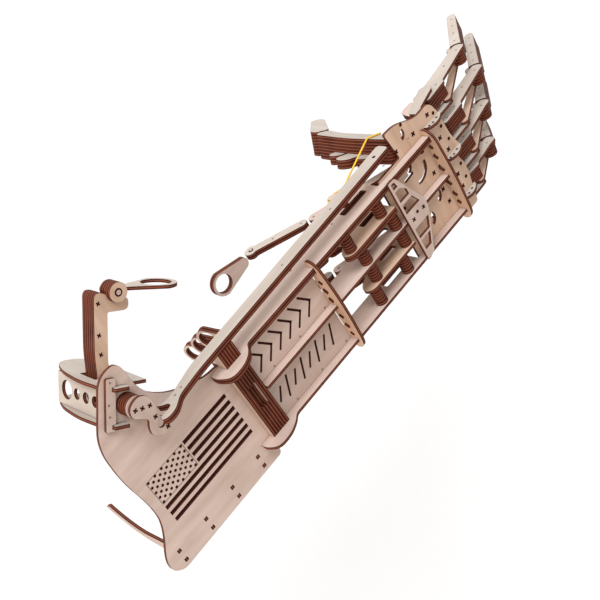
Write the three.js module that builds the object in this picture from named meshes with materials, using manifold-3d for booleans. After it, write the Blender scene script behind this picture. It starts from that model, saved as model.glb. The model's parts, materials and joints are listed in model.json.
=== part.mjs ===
// Wearable mechanical hand cut from 3 mm birch plywood, lying on the back of a right forearm.
// +X runs to the finger tips, +Y to the thumb side, +Z away from the forearm. Millimetres.
// The origin is on the underside of the forearm plate, below the middle of its striped panel.
import * as THREE from 'three';
import { mergeVertices } from 'three/addons/utils/BufferGeometryUtils.js';
import Module from 'manifold-3d';

const wasm = await Module();
wasm.setup();

// ---- driving dimensions -------------------------------------------------
const PLY = 3;                 // thickness of one plywood layer
const GAP = 0.3;               // clearance left between two touching pieces
const ARC_STEPS = 5;           // segments used for each curve of an outline
const PIVOT_GAP = 2;           // clearance at a pivot that the joint tree leaves open

const RAIL = { pitch: 21, top: 12, bottom: -17, seat: PLY + GAP };
const BOX = { start: 61, end: 180.3 };              // the flat box ahead of the forearm plate
const PLATE_END = BOX.start - GAP;
const PALM = { start: 288, arch: 355.5, end: 388 };
const RAIL_NOSE = 362;
const BAND_LUG = { foot: [257, -15.2], head: [254, -20.5], footRadius: 4, headRadius: 5, face: 60 };

const RIB = { stations: [39.8, 4.9, -30.3, -65.2], tabs: [-47.7, -59.5], tab: PLY,
  centreY: -4, centreZ: -46, inner: 44, outer: 56, sweep: 60 };

const RELIEF = { halfX: 50, halfY: 25, stripes: 13, depth: 1.2, fieldEnd: -4, fieldStripes: 7 };

const THUMB = {                // control lever beside the wrist, in axes turned about +Z
  pivot: [-19.5, 91.5], turn: -38.3, axle: 4, stack: 9.5, stackTop: 16.8,
  crankZ: 17.1, crankEye: [21.9, -16.5], eye: 3.6, leverTop: 79, leverLow: -43, leverHigh: -25,
  ringReach: 45, ringOuter: 17.5, ringInner: 12.8, ringHeight: 80.2,
};
const SHELF = { upper: 12.3, lower: -18.1, depth: 90, wall: -15.5, tab: [-14, -0.5], tabTop: 10 };
const STRIP = { low: [-20, -20.5], high: [-11, 23] };    // stiffener that the shelf tabs pass beside

const ROD = { inner: 64.8, layers: 2, end: [307, 0], endRadius: 7 };
const WOOD_THUMB = {             // laminated; its first layer is the one on the thumb side
  root: [328, 60, -10], turn: 23.5, face: 7.5, layers: 8, knuckle: [-6, -80], tip: [25, -125],
  lobes: [[-19, -16, 7], [-25, -34, 9], [-19, -53, 7]], plainLayers: 5,
};

// A finger: its near plate, a core of four layers, a far layer for the crossing link, and a fixed post.
const FINGER = {
  near: 9, core: 6, post: 12.6,          // distances from the finger's middle to its layers' outer faces
  back: -12, crown: 13.2, blockEnd: 18, dorsal: 5.5, palmar: -7.2,
  knuckle: 10, socket: 11.8, tongue: 7, tongueAt: [0.5, -2], farStart: 20, lug: 14,
  postEnd: [13, 9], horn: [4, -12], linkWidth: 7.2,
};
const CONTROL = {                // the bars, links and rings between the wearer's fingers and the palm
  barZ: -8, barWidth: 8, armRadius: 5.5, linkRadius: 5, hookRadius: 7, neck: 6,
};
const FINGERS = [
  { name: 'index', y: 50, bay: 31.5, root: [402, -23], pip: [66, -11], tip: [119, -58], ring: [153, -103],
    pull: [249, -60], armRun: 90, bend: 336, reach: 42, tilt: 4, ringOuter: 12.2 },
  { name: 'middle', y: 20, bay: 10.5, root: [406, -19], pip: [69, -11], tip: [124, -60], ring: [105.4, -90],
    pull: [232, -34], armRun: 60, bend: 298, reach: 30, tilt: 70, ringOuter: 12 },
  { name: 'ring', y: -11, bay: -10.5, root: [401, -18.5], pip: [58, -6.5], tip: [110, -51],
    ring: [108.5, -121], pull: [228, -34], armRun: 60, bend: 298, reach: 30, tilt: 70, ringOuter: 12 },
  { name: 'little', y: -40, bay: -31.5, root: [389, -16], pip: [48, 0], tip: [85, -36], ring: [109.4, -152],
    pull: [232, -34], armRun: 60, bend: 298, reach: 30, tilt: 70, ringOuter: 12 },
];

// ---- materials ----------------------------------------------------------
const wood = (color) => new THREE.MeshStandardMaterial({ color, roughness: 0.72, metalness: 0 });
const BIRCH = wood(0xe6cdb0);
const BIRCH_EDGE = wood(0x8a4a32);
const BIRCH_PALE = wood(0xf0e2cf);

// ---- shared helpers -----------------------------------------------------
const model = new THREE.Group();
const degrees = THREE.MathUtils.degToRad;

function addMesh(parent, name, geometry, material = BIRCH) {
  const mesh = new THREE.Mesh(geometry, material);
  mesh.name = name;
  parent.add(mesh);
  return mesh;
}

// A closed outline whose points are [x, y] or [x, y, setback], where the setback rounds the corner.
function outline(points) {
  const shape = new THREE.Shape();
  const count = points.length;
  const towards = (here, [x, y], setback) => {
    const step = new THREE.Vector2(x, y).sub(here);
    return here.clone().add(step.clone().setLength(Math.min(setback, 0.48 * step.length())));
  };
  points.forEach(([x, y, setback = 0], i) => {
    const here = new THREE.Vector2(x, y);
    const start = towards(here, points[(i + count - 1) % count], setback);
    const stop = towards(here, points[(i + 1) % count], setback);
    if (i === 0) shape.moveTo(start.x, start.y);
    else shape.lineTo(start.x, start.y);
    if (setback > 0) shape.quadraticCurveTo(x, y, stop.x, stop.y);
  });
  shape.closePath();
  return shape;
}

const rectangle = (x0, y0, x1, y1, radius = 0) => outline([
  [x0, y0, radius], [x1, y0, radius], [x1, y1, radius], [x0, y1, radius]]);

function circle(x, y, radius) {
  const shape = new THREE.Shape();
  shape.absarc(x, y, radius, 0, 2 * Math.PI, false);
  return shape;
}

// A bar with round ends between two centres; the radii may differ.
function bar(a, b, radiusA, radiusB = radiusA) {
  const angle = Math.atan2(b[1] - a[1], b[0] - a[0]);
  const shape = new THREE.Shape();
  shape.absarc(b[0], b[1], radiusB, angle - Math.PI / 2, angle + Math.PI / 2, false);
  shape.absarc(a[0], a[1], radiusA, angle + Math.PI / 2, angle + 1.5 * Math.PI, false);
  shape.closePath();
  return shape;
}

// An opening between two shallow arcs, pointed at both ends.
const leaf = (x, y, halfLength, halfHeight) => outline([
  [x - halfLength, y], [x, y - 2 * halfHeight, 99], [x + halfLength, y], [x, y + 2 * halfHeight, 99]]);

function slab(shape, thickness, low = 0) {
  const geometry = new THREE.ExtrudeGeometry(shape, {
    depth: thickness, bevelEnabled: false, curveSegments: ARC_STEPS });
  return geometry.translate(0, 0, low);
}

function solid(geometry) {
  const bare = geometry.clone();
  bare.deleteAttribute('normal');
  bare.deleteAttribute('uv');
  const merged = mergeVertices(bare, 1e-4);
  return new wasm.Manifold(new wasm.Mesh({
    numProp: 3, vertProperties: merged.attributes.position.array,
    triVerts: new Uint32Array(merged.index.array) }));
}

function fromSolid(body) {
  const mesh = body.getMesh();
  const geometry = new THREE.BufferGeometry();
  geometry.setAttribute('position', new THREE.BufferAttribute(mesh.vertProperties, 3));
  geometry.setIndex(new THREE.BufferAttribute(mesh.triVerts, 1));
  return geometry;
}

const join = (...pieces) => fromSolid(pieces.map(solid).reduce((a, b) => a.add(b)));
const cut = (piece, ...tools) => fromSolid(tools.map(solid).reduce((a, b) => a.subtract(b), solid(piece)));

// A flat piece with the given openings cut right through it.
function sheet(shape, openings, thickness = PLY, low = 0) {
  return cut(slab(shape, thickness, low), ...openings.map((hole) => slab(hole, thickness + 2, low - 1)));
}

// Groups whose local outline plane is X-Z (layers stack towards -Y) or Y-Z (layers towards +X).
function sideGroup(y) {
  const group = new THREE.Group();
  group.rotation.x = Math.PI / 2;
  group.position.y = y;
  model.add(group);
  return group;
}

function crossGroup(x) {
  const group = new THREE.Group();
  group.setRotationFromMatrix(new THREE.Matrix4().makeBasis(
    new THREE.Vector3(0, 1, 0), new THREE.Vector3(0, 0, 1), new THREE.Vector3(1, 0, 0)));
  group.position.x = x;
  model.add(group);
  return group;
}

// Carries a point of the thumb control's turned axes into the object's own.
function fromControl([x, y, ...setback]) {
  const point = new THREE.Vector2(x, y).rotateAround(new THREE.Vector2(), degrees(THUMB.turn));
  return [point.x + THUMB.pivot[0], point.y + THUMB.pivot[1], ...setback];
}

// ---- forearm plate and ribs ---------------------------------------------
function forearmPlate() {
  const shape = outline([
    [PLATE_END, -65.6, 5], [-71, -65.6, 5], [-80, -58, 7], [-79.5, -45, 12], [-60, -16, 20], [-58.5, 8, 15],
    [-63, 42, 20], [-60, 82, 18], [-40, 106, 8], [-25, 125, 12], [-4, 125, 12], [-5, 88, 26],
    [14, 66, 16], [45, 51, 10], [PLATE_END, 49, 3]]);
  const reach = RIB.tab / 2 + GAP;
  const openings = [circle(...THUMB.pivot, THUMB.axle + GAP)];
  const strip = outline([STRIP.low, [STRIP.high[0], STRIP.low[1]], STRIP.high, [STRIP.low[0], STRIP.high[1]]]
    .map((corner) => [...fromControl(corner), 2]));
  const [tabStart, tabEnd] = SHELF.tab;
  const tabSlots = [SHELF.upper, SHELF.lower].map((low) => slab(outline([
    [tabStart - GAP, low - GAP], [tabEnd + GAP, low - GAP], [tabEnd + GAP, low + PLY + GAP],
    [tabStart - GAP, low + PLY + GAP]].map(fromControl)), 3 * PLY, -1));
  for (const x of RIB.stations) {
    for (const y of RIB.tabs) openings.push(rectangle(x - reach, y - reach, x + reach, y + reach));
  }
  const pitch = 2 * RELIEF.halfY / RELIEF.stripes;
  const grooves = [];
  for (let stripe = 0; stripe < RELIEF.stripes; stripe += 2) {
    const low = -RELIEF.halfY + stripe * pitch;
    const start = stripe < RELIEF.stripes - RELIEF.fieldStripes ? -RELIEF.halfX : RELIEF.fieldEnd;
    grooves.push(slab(rectangle(start, low, RELIEF.halfX, low + pitch), RELIEF.depth + 1, PLY - RELIEF.depth));
  }
  const plate = join(sheet(shape, openings), slab(strip, PLY + 0.1, PLY - 0.1));
  addMesh(model, 'forearm_plate', cut(plate, ...grooves, ...tabSlots));
}

// Each rib hangs from two square tabs and curls under the forearm.
function forearmRibs() {
  const { centreY, centreZ, inner, outer } = RIB;
  const shape = new THREE.Shape();
  shape.moveTo(centreY - outer, -GAP);
  shape.lineTo(centreY - outer, centreZ);
  const end = Math.PI + degrees(RIB.sweep);
  shape.absarc(centreY, centreZ, outer, Math.PI, end, false);
  shape.absarc(centreY, centreZ, inner, end, Math.PI, true);
  shape.lineTo(centreY - inner + 4, -GAP);
  for (const y of RIB.tabs) {
    shape.lineTo(y + RIB.tab / 2, -GAP);
    shape.lineTo(y + RIB.tab / 2, PLY);
    shape.lineTo(y - RIB.tab / 2, PLY);
    shape.lineTo(y - RIB.tab / 2, -GAP);
  }
  shape.closePath();
  RIB.stations.forEach((x, i) => {
    addMesh(crossGroup(x - PLY / 2), `forearm_rib_${i + 1}`, slab(shape, PLY), BIRCH_PALE);
  });
}

// ---- long rails, their spacers and the box ------------------------------
// An outer or middle rail: it rests on the plates at both ends and is deeper between them.
function longRail(head) {
  const { top, bottom, seat } = RAIL;
  return outline([
    ...head, [PALM.arch - 0.5, top], [RAIL_NOSE, top - 1, 3], [RAIL_NOSE, seat, 1],
    [PALM.start - 2, seat], [PALM.start - 2, bottom, 4], [BOX.end + 6, bottom, 8], [BOX.end - 20, -12, 10],
    [BOX.start + 0.6, -12, 5], [BOX.start + 0.6, seat]]);
}

function rails() {
  const { pitch, top, bottom, seat } = RAIL;
  const cheek = (height) => [
    [49, seat, 2], [48, height * 0.45, 6], [54, height, 8], [70, height, 7], [82, height * 0.78, 6],
    [90, top, 3]];
  const window = [rectangle(245, -12, 278, -4, 2)];
  const outerFace = 2 * pitch + 2 * PLY;
  const thumbRail = sheet(longRail(cheek(29)), window, 2 * PLY);
  addMesh(sideGroup(outerFace), 'rail_thumb', join(thumbRail, ...bandLug(BAND_LUG.face - outerFace)));
  addMesh(sideGroup(PLY / 2), 'rail_middle', sheet(longRail([[82, seat], [82, top, 1]]), window));
  addMesh(sideGroup(-2 * pitch), 'rail_little', sheet(longRail(cheek(23.5)), window));
  const inner = outline([
    [222, -5, 6], [216, 4, 8], [222, top, 6], [PALM.start - 2, top], [PALM.start - 2, bottom + 3, 4],
    [240, bottom + 3, 8]]);
  const innerWindow = [rectangle(256, -11, 276, -4, 2)];
  addMesh(sideGroup(pitch + PLY), 'rail_inner_thumb', sheet(inner, innerWindow, 2 * PLY));
  addMesh(sideGroup(-pitch + PLY / 2), 'rail_inner_little', sheet(inner, innerWindow));
}

// A round lug on a short stem beside the thumb rail; the wooden thumb's rubber band hooks over it.
function bandLug(reach) {
  const { foot, head, footRadius, headRadius } = BAND_LUG;
  const stem = slab(circle(...foot, footRadius), reach + 0.1 - PLY, PLY - reach);
  return [stem, slab(bar(foot, head, footRadius, headRadius), PLY + 0.1, -reach)];
}

// Disc stacks between neighbouring rails keep them apart.
function spacers() {
  const { pitch } = RAIL;
  const faces = [[2 * pitch, pitch + PLY], [pitch - PLY, PLY / 2],
    [-PLY / 2, -pitch + PLY / 2], [-pitch - PLY / 2, -2 * pitch]];
  const rows = [[227, 235, 235, 227], [273, 281, 281, 269]];
  rows.forEach((row, r) => row.forEach((x, bay) => {
    const [high, low] = faces[bay];
    addMesh(sideGroup(high - GAP), `spacer_${r + 1}_${bay + 1}`,
      slab(circle(x, 4.5, 6), high - low - 2 * GAP), BIRCH_EDGE);
  }));
}

function boxPanels() {
  const { pitch } = RAIL;
  const wall = PLY / 2 + GAP;
  const panels = { thumb: [wall, 2 * pitch - GAP], little: [-2 * pitch + GAP, -wall] };
  for (const [side, [low, high]] of Object.entries(panels)) {
    addMesh(model, `box_panel_${side}`, slab(rectangle(BOX.start, low, BOX.end, high), PLY));
  }
}

// Seven layers across the joint of the forearm plate and the box, with a window in the middle.
function wristBlock() {
  const { pitch } = RAIL;
  const shape = rectangle(-2 * pitch + GAP, RAIL.seat, 2 * pitch - GAP, 10.5);
  const body = slab(shape, 7 * PLY);
  const window = slab(rectangle(-11, 6, 14, 20), 9, 6);
  addMesh(crossGroup(60.4), 'wrist_block', cut(body, window), BIRCH_EDGE);
  addMesh(crossGroup(60.4), 'rod_guide',
    slab(rectangle(2 * pitch + 2 * PLY + GAP, RAIL.seat, ROD.inner - 0.6, 16), 6 * PLY), BIRCH_EDGE);
}

// An arched end plate standing on the panels, notched over the rails.
function arch(name, x, apex, holeZ, holes) {
  const { pitch, top, seat } = RAIL;
  const notch = (y, half) => rectangle(y - half - GAP, 0, y + half + GAP, top + GAP);
  const shape = outline([
    [-54, seat, 2], [54, seat, 2], [54, 10, 4], [47, 17, 8], [0, apex, 40], [-47, 17, 8], [-54, 10, 4]]);
  const notches = [
    notch(-2 * pitch - PLY / 2, PLY / 2), notch(0, PLY / 2), notch(2 * pitch + PLY, PLY)];
  const openings = holes.map(([y, halfLength, halfHeight]) => leaf(y, holeZ, halfLength, halfHeight));
  addMesh(crossGroup(x), name, sheet(shape, [...notches, ...openings]));
}

// ---- palm ---------------------------------------------------------------
function wristBridge() {
  const low = RAIL.top + GAP;
  const shape = outline([
    [287.5, -44, 2], [287.5, 49, 2], [297, 49, 3], [317, 9, 6], [316, -3, 6], [300, -36], [299, -41, 2],
    [290, -44.5, 2]]);
  const panes = [
    [[290.5, 40], [290.5, 46, 1], [294.5, 46, 1], [296, 40]],
    [[290.5, 25], [290.5, 37], [297, 37, 1], [303.5, 31, 1], [303.5, 25]],
    [[290.5, 11], [290.5, 21], [305, 21], [310, 11]], [[290.5, -19], [290.5, -8], [311, -8], [306, -19]],
    [[290.5, -33], [290.5, -22], [304.5, -22], [299, -33]]];
  const peg = circle(302.2, 3.9, 1.6);
  addMesh(model, 'wrist_bridge', sheet(shape, [...panes.map(outline), peg], PLY, low), BIRCH_PALE);
}

function ringSlot(x, y, radius, from, to, half) {
  const shape = new THREE.Shape();
  shape.absarc(x, y, radius + half, degrees(from), degrees(to), false);
  shape.absarc(x, y, radius - half, degrees(to), degrees(from), true);
  shape.closePath();
  return shape;
}

function palmPlate() {
  const side = 2 * RAIL.pitch;
  const shape = outline([
    [PALM.start, -side - 5, 2], [350, -side - 5, 2], [366, -side - 12, 3], [PALM.end - 8, -side - 12, 3],
    [PALM.end - 5, -side + 6, 3], [PALM.end - 2, -22, 6], [PALM.end - 2, -9, 5], [PALM.end - 5, -1, 2],
    [PALM.end + 3, 10, 2], [PALM.end, 17, 5], [PALM.end - 2, 26, 6], [PALM.end - 3, 42, 3],
    [PALM.end - 3, 52, 4], [PALM.end - 7, 64, 4], [376, 68, 4], [358, 67, 10], [334, 79, 8], [318, 80, 3],
    [322, 50, 2], [PALM.start, 50, 2]]);
  const slots = [ringSlot(331.3, 27.2, 13, -105, 4, 1.7), ringSlot(321, 38, 7.2, -85, 5, 1.9),
    bar([315.3, 27.5], [326, 28.2], 1.5), ringSlot(337, -11, 6, -75, 45, 2.2),
    ringSlot(318.5, -24, 6, -75, 40, 2.2), ringSlot(333, 67, 5, -80, 30, 1.7)];
  const posts = FINGERS.map(knucklePost);
  const crests = [[361, 52.5], [366, 10], [361, -35]].map(([x, y]) => palmCrest(x, y));
  addMesh(model, 'palm_plate', join(sheet(shape, slots), ...posts, ...crests, indexBracket()));
}

// An upright crescent between two finger roots.
function palmCrest(x, y) {
  const crest = outline([[x, 1], [x + 1, 9, 5], [x + 12, 13, 9], [x + 24, 7, 8], [x + 25, 1]]);
  return standing(slab(crest, PLY), y);
}

// Turns outlines drawn in X-Z into a fixed layer whose +Y face is at y.
const standing = (geometry, y) => geometry.rotateX(Math.PI / 2).translate(0, y, 0);

// A short arm under the plate's front edge; the finger's crossing link turns on its end.
function knucklePost({ y, root }) {
  const [x, z] = [root[0] + FINGER.postEnd[0], root[1] + FINGER.postEnd[1]];
  const arm = outline([
    [x - 46, 1], [x - 46, z + 2, 6], [x - 36, z - 5, 4], [x + 1, z - 4.6, 3], [x + 5, z - 2, 3],
    [x + 4, z + 3.4, 3], [x - 1, z + 4.6, 3], [x - 32, z + 6, 4], [x - 34, 1]]);
  return standing(slab(arm, PLY), y - FINGER.post + PLY);
}

// The bracket beside the index finger's root.
function indexBracket() {
  const { y, root } = FINGERS[0];
  const [stemX, stemFoot] = [373, -13];
  const stem = slab(bar([stemX, -4], [stemX, stemFoot], 5), PLY);
  const arm = slab(bar([stemX, stemFoot], root, 5.5, 7), PLY);
  return standing(join(stem, arm), y + FINGER.near + GAP + PLY);
}

// ---- thumb control ------------------------------------------------------
const control = new THREE.Group();
control.position.set(...THUMB.pivot, 0);
control.rotation.z = degrees(THUMB.turn);
model.add(control);

function controlSide(y, parent = control) {
  const group = new THREE.Group();
  group.rotation.x = Math.PI / 2;
  group.position.y = y;
  parent.add(group);
  return group;
}

function controlShelves() {
  const plan = outline([
    [-20, -GAP], [-23, -30, 12], [-19, -64, 12], [-8, -SHELF.depth, 10], [14, -SHELF.depth, 12],
    [21, -45, 14], [21, -GAP]]);
  const slot = rectangle(-12.5, THUMB.leverLow - 3, 17, THUMB.leverHigh + 3, 1);
  const tab = slab(rectangle(SHELF.tab[0], -1, SHELF.tab[1], SHELF.tabTop, 1), PLY);
  addMesh(controlSide(SHELF.upper + PLY), 'shelf_upper', join(sheet(plan, [slot]), tab), BIRCH_PALE);
  addMesh(controlSide(SHELF.lower + PLY), 'shelf_lower', join(slab(plan, PLY), tab), BIRCH_PALE);
}

// The upright wall between the shelves, with three small holes and a large one.
function controlWall() {
  const group = new THREE.Group();
  group.setRotationFromMatrix(new THREE.Matrix4().makeBasis(
    new THREE.Vector3(0, 1, 0), new THREE.Vector3(0, 0, 1), new THREE.Vector3(1, 0, 0)));
  group.position.x = SHELF.wall;
  control.add(group);
  const shape = rectangle(SHELF.lower + PLY + GAP, -76, SHELF.upper - GAP, -GAP, 1);
  const openings = [-18, -32, -46].map((z) => circle(-1.5, z, 4.6));
  openings.push(circle(-1.5, -62, 8));
  addMesh(group, 'shelf_wall', sheet(shape, openings), BIRCH_PALE);
}

function controlLever() {
  const { leverTop, leverLow, leverHigh, crankEye, crankZ } = THUMB;
  const shape = outline([
    [-8.5, -8.5, 8], [8.5, -8.5, 8], [8.5, 8, 8], [1.5, 24, 6], [1.5, 67.5, 2], [21, 67.5, 5.4], [21, 78.4, 5.4],
    [4, 78.4, 1], [-2, leverTop + 5, 6], [-11, leverTop + 5, 6], [-11, 34, 8], [-9, 18, 6]]);
  const hub = slab(circle(8, 84, 8.4), 5 * PLY, leverHigh - 3 * PLY);
  addMesh(control, 'thumb_lever', join(slab(shape, leverHigh - leverLow, leverLow), hub), BIRCH_EDGE);
  const axle = slab(circle(0, 0, THUMB.axle), PLY + 1 - leverHigh - GAP, leverHigh + GAP);
  const stack = slab(circle(0, 0, THUMB.stack), THUMB.stackTop - PLY - GAP, PLY + GAP);
  addMesh(control, 'thumb_axle', join(axle, stack), BIRCH_EDGE);
  const crank = outline([
    [-6.5, 3, 5], [0, 9.5, 6], [9, 8.5, 5], [16, 1, 4], [18.5, -9, 3], [27, -12, 6], [32, -20, 6],
    [25, -27, 7], [14, -26, 6], [10.3, -18, 5], [10.5, -11.5, 3], [4, -9.6, 3], [-4, -9, 6], [-7.5, -3, 5]]);
  addMesh(control, 'thumb_crank', sheet(crank, [circle(...crankEye, THUMB.eye)], PLY, crankZ));
}

// The plate that the wearer's thumb goes through; it stands across the lever.
function thumbRing() {
  const { ringReach, ringOuter, ringInner, ringHeight, leverHigh, leverLow } = THUMB;
  const centre = [8 + ringReach, (leverHigh + leverLow) / 2];
  const body = slab(bar([25, centre[1]], centre, 6, ringOuter), PLY);
  const hole = slab(circle(...centre, ringInner), PLY + 2, -1);
  addMesh(controlSide(ringHeight + 2 + PLY), 'thumb_ring', cut(body, hole), BIRCH_PALE);
}

// The long rod ends in an open jaw: one prong passes over the crank, the other in front of its edge.
function thumbRod() {
  const { end, endRadius, inner, layers } = ROD;
  const over = THUMB.crankZ + PLY + PIVOT_GAP;
  const body = outline([
    [-4, 7, 1.5], [3, 11.5, 5], [12, 11.5, 6], [40, 4, 8], [end[0], end[1] - endRadius],
    [end[0] + endRadius, end[1] - endRadius, 5], [end[0] + endRadius, end[1] + endRadius, 5],
    [end[0], end[1] + endRadius], [40, 17.5, 8], [14, 21, 6], [8, over + 3, 6], [1, over + 7.5, 5],
    [-8, over + 8, 5], [-12.5, over + 4, 2], [-10.5, over, 1.5], [-3, over, 2], [2.5, over - 1, 3],
    [2.5, 16.5, 3], [-1.5, 12.5, 3]]);
  const pin = circle(end[0] - 8, end[1] + 1, 1.6);
  addMesh(sideGroup(inner + layers * PLY), 'thumb_rod', sheet(body, [pin], layers * PLY), BIRCH_PALE);
}

// ---- wooden thumb -------------------------------------------------------
function woodenThumb() {
  const { root, turn, face, layers, knuckle, tip, lobes, plainLayers } = WOOD_THUMB;
  const width = layers * PLY;
  const frame = new THREE.Group();
  frame.position.set(...root);
  frame.rotation.z = -degrees(turn);
  model.add(frame);
  const side = new THREE.Group();
  side.rotation.x = Math.PI / 2;
  side.position.y = face;
  frame.add(side);
  const [kx, kz] = knuckle;
  const beam = outline([
    [6, 8, 5], [-8, 8, 5], [-16, -35, 30], [kx - 8, kz - 4, 5], [kx - 2, kz - 8, 4], [kx + 8, kz - 3, 5],
    [kx + 4, -60, 10], [1, -32, 26]]);
  const lobe = ([x, z, radius]) => slab(
    bar([-5, z + 3], [x, z], radius), (layers - plainLayers) * PLY, plainLayers * PLY);
  addMesh(side, 'thumb_beam', join(slab(beam, width), ...lobes.map(lobe)), BIRCH_EDGE);
  const body = slab(bar([kx + 7, kz - 16], tip, 9, 7), width);
  const socket = slab(circle(kx, kz, 10.5), width + 2, -1);
  addMesh(side, 'thumb_tip', cut(body, socket), BIRCH_PALE);
}

// ---- fingers ------------------------------------------------------------
// A frame for outlines drawn along the line from one joint centre to the next.
function phalanxFrame(from, to) {
  const length = Math.hypot(to[0] - from[0], to[1] - from[1]);
  const [ux, uz] = [(to[0] - from[0]) / length, (to[1] - from[1]) / length];
  const place = ([s, t, ...setback]) => [
    from[0] + ux * s - uz * t, from[1] + uz * s + ux * t, ...setback];
  return { length, place };
}

function finger(spec) {
  const { name, y, root, pip, tip } = spec;
  const side = sideGroup(y + FINGER.near);
  side.position.x = root[0];
  side.position.z = root[1];
  addMesh(side, `${name}_proximal`, proximal(pip));
  addMesh(side, `${name}_distal`, distal(pip, tip), BIRCH_PALE);
  const heel = [pip[0] + FINGER.horn[0], pip[1] + FINGER.horn[1]];
  const linkEnd = FINGER.linkWidth / 2;
  const link = slab(bar(FINGER.postEnd, heel, linkEnd + 0.8, linkEnd), PLY, FINGER.near + FINGER.core + GAP);
  addMesh(side, `${name}_coupler`, link);
  pullBar(spec);
  linkAndRing(spec);
}

// One long near plate, the laminated block at its root and the lug that the pull bar works.
function proximal(pip) {
  const { back, crown, dorsal, palmar, blockEnd, knuckle, lug, near, core } = FINGER;
  const rim = 0.6;               // how far the block stays inside the plate's outline
  const { length, place } = phalanxFrame([0, 0], pip);
  const plate = outline([
    [back, -6, 5], [back, crown - 3, 4], [blockEnd, crown - 1, 3], [blockEnd + 2, crown - 4, 3],
    [length - 2, dorsal], [length + 8, dorsal, 3],
    [length + knuckle, 0, 4], [length + 8, palmar, 4], [24, palmar - 0.4, 8], [0, -9, 6]].map(place));
  const block = outline([
    [back + rim, -4, 2], [back + rim, crown - 3 - rim, 2], [blockEnd - rim, crown - 1.6 - rim, 1],
    [blockEnd - rim, -4, 3]].map(place));
  const arm = slab(bar([0, 0], [0, -lug], 5.5, 4.5), core, near - core / 2);
  const body = slab(block, 2 * core, near - core - 0.1);
  return join(slab(plate, near - core), body, arm);
}

// The core's round tongue sits beside the near plate and carries the horn for the crossing link.
function distal(pip, tip) {
  const { socket, tongue, tongueAt, farStart, horn, near, core } = FINGER;
  const { length, place } = phalanxFrame(pip, tip);
  const heel = [pip[0] + horn[0], pip[1] + horn[1]];
  const spread = Math.asin(5.8 / socket);
  const hollow = [];
  for (let step = 0; step <= 2 * ARC_STEPS; step += 1) {
    const angle = spread * (step / ARC_STEPS - 1);
    hollow.push([socket * Math.cos(angle), socket * Math.sin(angle)]);
  }
  const nose = [[length + 5, 4.6, 6], [length + 5, -4.6, 6]];
  const nearPlate = outline([...hollow, ...nose].map(place));
  const farPlate = outline([[farStart, -5.6, 2], [farStart, 5.8, 2], ...nose].map(place));
  const depth = 2 * core - GAP;
  const inner = join(
    slab(bar([pip[0] + tongueAt[0], pip[1] + tongueAt[1]], heel, tongue, 4.5), depth, near - core + GAP),
    slab(outline([[0, -5.6], [0, 5.8], ...nose].map(place)), depth, near - core + GAP));
  return join(slab(nearPlate, near - core + GAP), inner, slab(farPlate, PLY, near + core - 0.1));
}

// The pull bar: a slanted arm at the wearer's end, a flat bar, and a toe that works the finger's lug.
function pullBar({ name, y, bay, root, pull, armRun, bend }) {
  const { barZ, barWidth, armRadius } = CONTROL;
  const half = barWidth / 2;
  const start = pull[0] + armRun - 60;
  const plan = outline([
    [start, bay - half, 3], [bend, bay - half], [root[0] - 34, y - half], [root[0] - 20, y - half, 1],
    [root[0] - 20, y + half, 1], [root[0] - 38, y + half], [bend - 4, bay + half],
    [start, bay + half, 3]]);
  const arm = slab(bar([pull[0] + armRun, barZ], pull, armRadius - 1, armRadius), 2 * PLY);
  const lugZ = root[1] - FINGER.lug;
  const toe = slab(outline([
    [root[0] - 27, barZ], [root[0] - 20, barZ], [root[0] - 20, lugZ + 8, 3], [root[0] - 7, lugZ + 4, 3],
    [root[0] - 7, lugZ - 4, 3], [root[0] - 23, lugZ - 4, 5], [root[0] - 27, lugZ + 6, 4]]), 2 * PLY);
  addMesh(model, `${name}_pull_bar`,
    join(slab(plan, PLY, barZ - PLY / 2), standing(arm, bay + PLY), standing(toe, y + PLY)));
}

// The link hangs from the arm; the ring plate hangs from the link, tilted about +Y.
function linkAndRing({ name, bay, ring, pull, reach, tilt, ringOuter }) {
  const { armRadius, linkRadius, hookRadius, neck } = CONTROL;
  const lean = degrees(tilt);
  const hook = [ring[0] + reach * Math.cos(lean), ring[1] + reach * Math.sin(lean)];
  const span = Math.hypot(pull[0] - hook[0], pull[1] - hook[1]);
  const share = 1 - (armRadius + linkRadius + PIVOT_GAP) / span;
  const near = [hook[0] + (pull[0] - hook[0]) * share, hook[1] + (pull[1] - hook[1]) * share];
  const link = join(
    slab(bar(hook, near, linkRadius, linkRadius), 2 * PLY), slab(circle(...hook, hookRadius), 2 * PLY));
  addMesh(sideGroup(bay + PLY), `${name}_link`, link);

  const plate = new THREE.Group();
  plate.position.set(ring[0], bay, ring[1]);
  plate.rotation.y = -lean;
  model.add(plate);
  const neckReach = reach - neck - hookRadius - PIVOT_GAP;
  const band = bar([neckReach, 0], [0, 0], neck, ringOuter);
  addMesh(plate, `${name}_finger_ring`, sheet(band, [circle(0, 0, ringOuter - 2.9)], 2 * PLY, -PLY));
}

forearmPlate();
forearmRibs();
rails();
spacers();
boxPanels();
wristBlock();
arch('box_arch', BOX.end + GAP, 21, 8.5,
  [[-35.6, 3, 1.8], [-25, 3.8, 2.2], [-13, 3.4, 2], [7.5, 4, 2.1], [18.6, 4, 2.2], [29, 3, 1.8]]);
arch('palm_arch', PALM.arch, 20, 7.6,
  [[-33, 3.2, 1.9], [-22.5, 3.8, 2.2], [-7.8, 4.8, 2.8], [9.5, 4.8, 2.8], [23.5, 3.8, 2.2], [35, 3.2, 1.9]]);
wristBridge();
palmPlate();
controlShelves();
controlWall();
controlLever();
thumbRing();
thumbRod();
woodenThumb();
FINGERS.forEach(finger);

export default model;
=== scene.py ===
"""Looks of the wooden mechanical hand.

Every sub-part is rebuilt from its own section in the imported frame: layers of laser-cut birch
plywood with smooth outlines, chamfered rims and browned edges. Metres, in the frame's axes.
"""

import json
import math
import random

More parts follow.
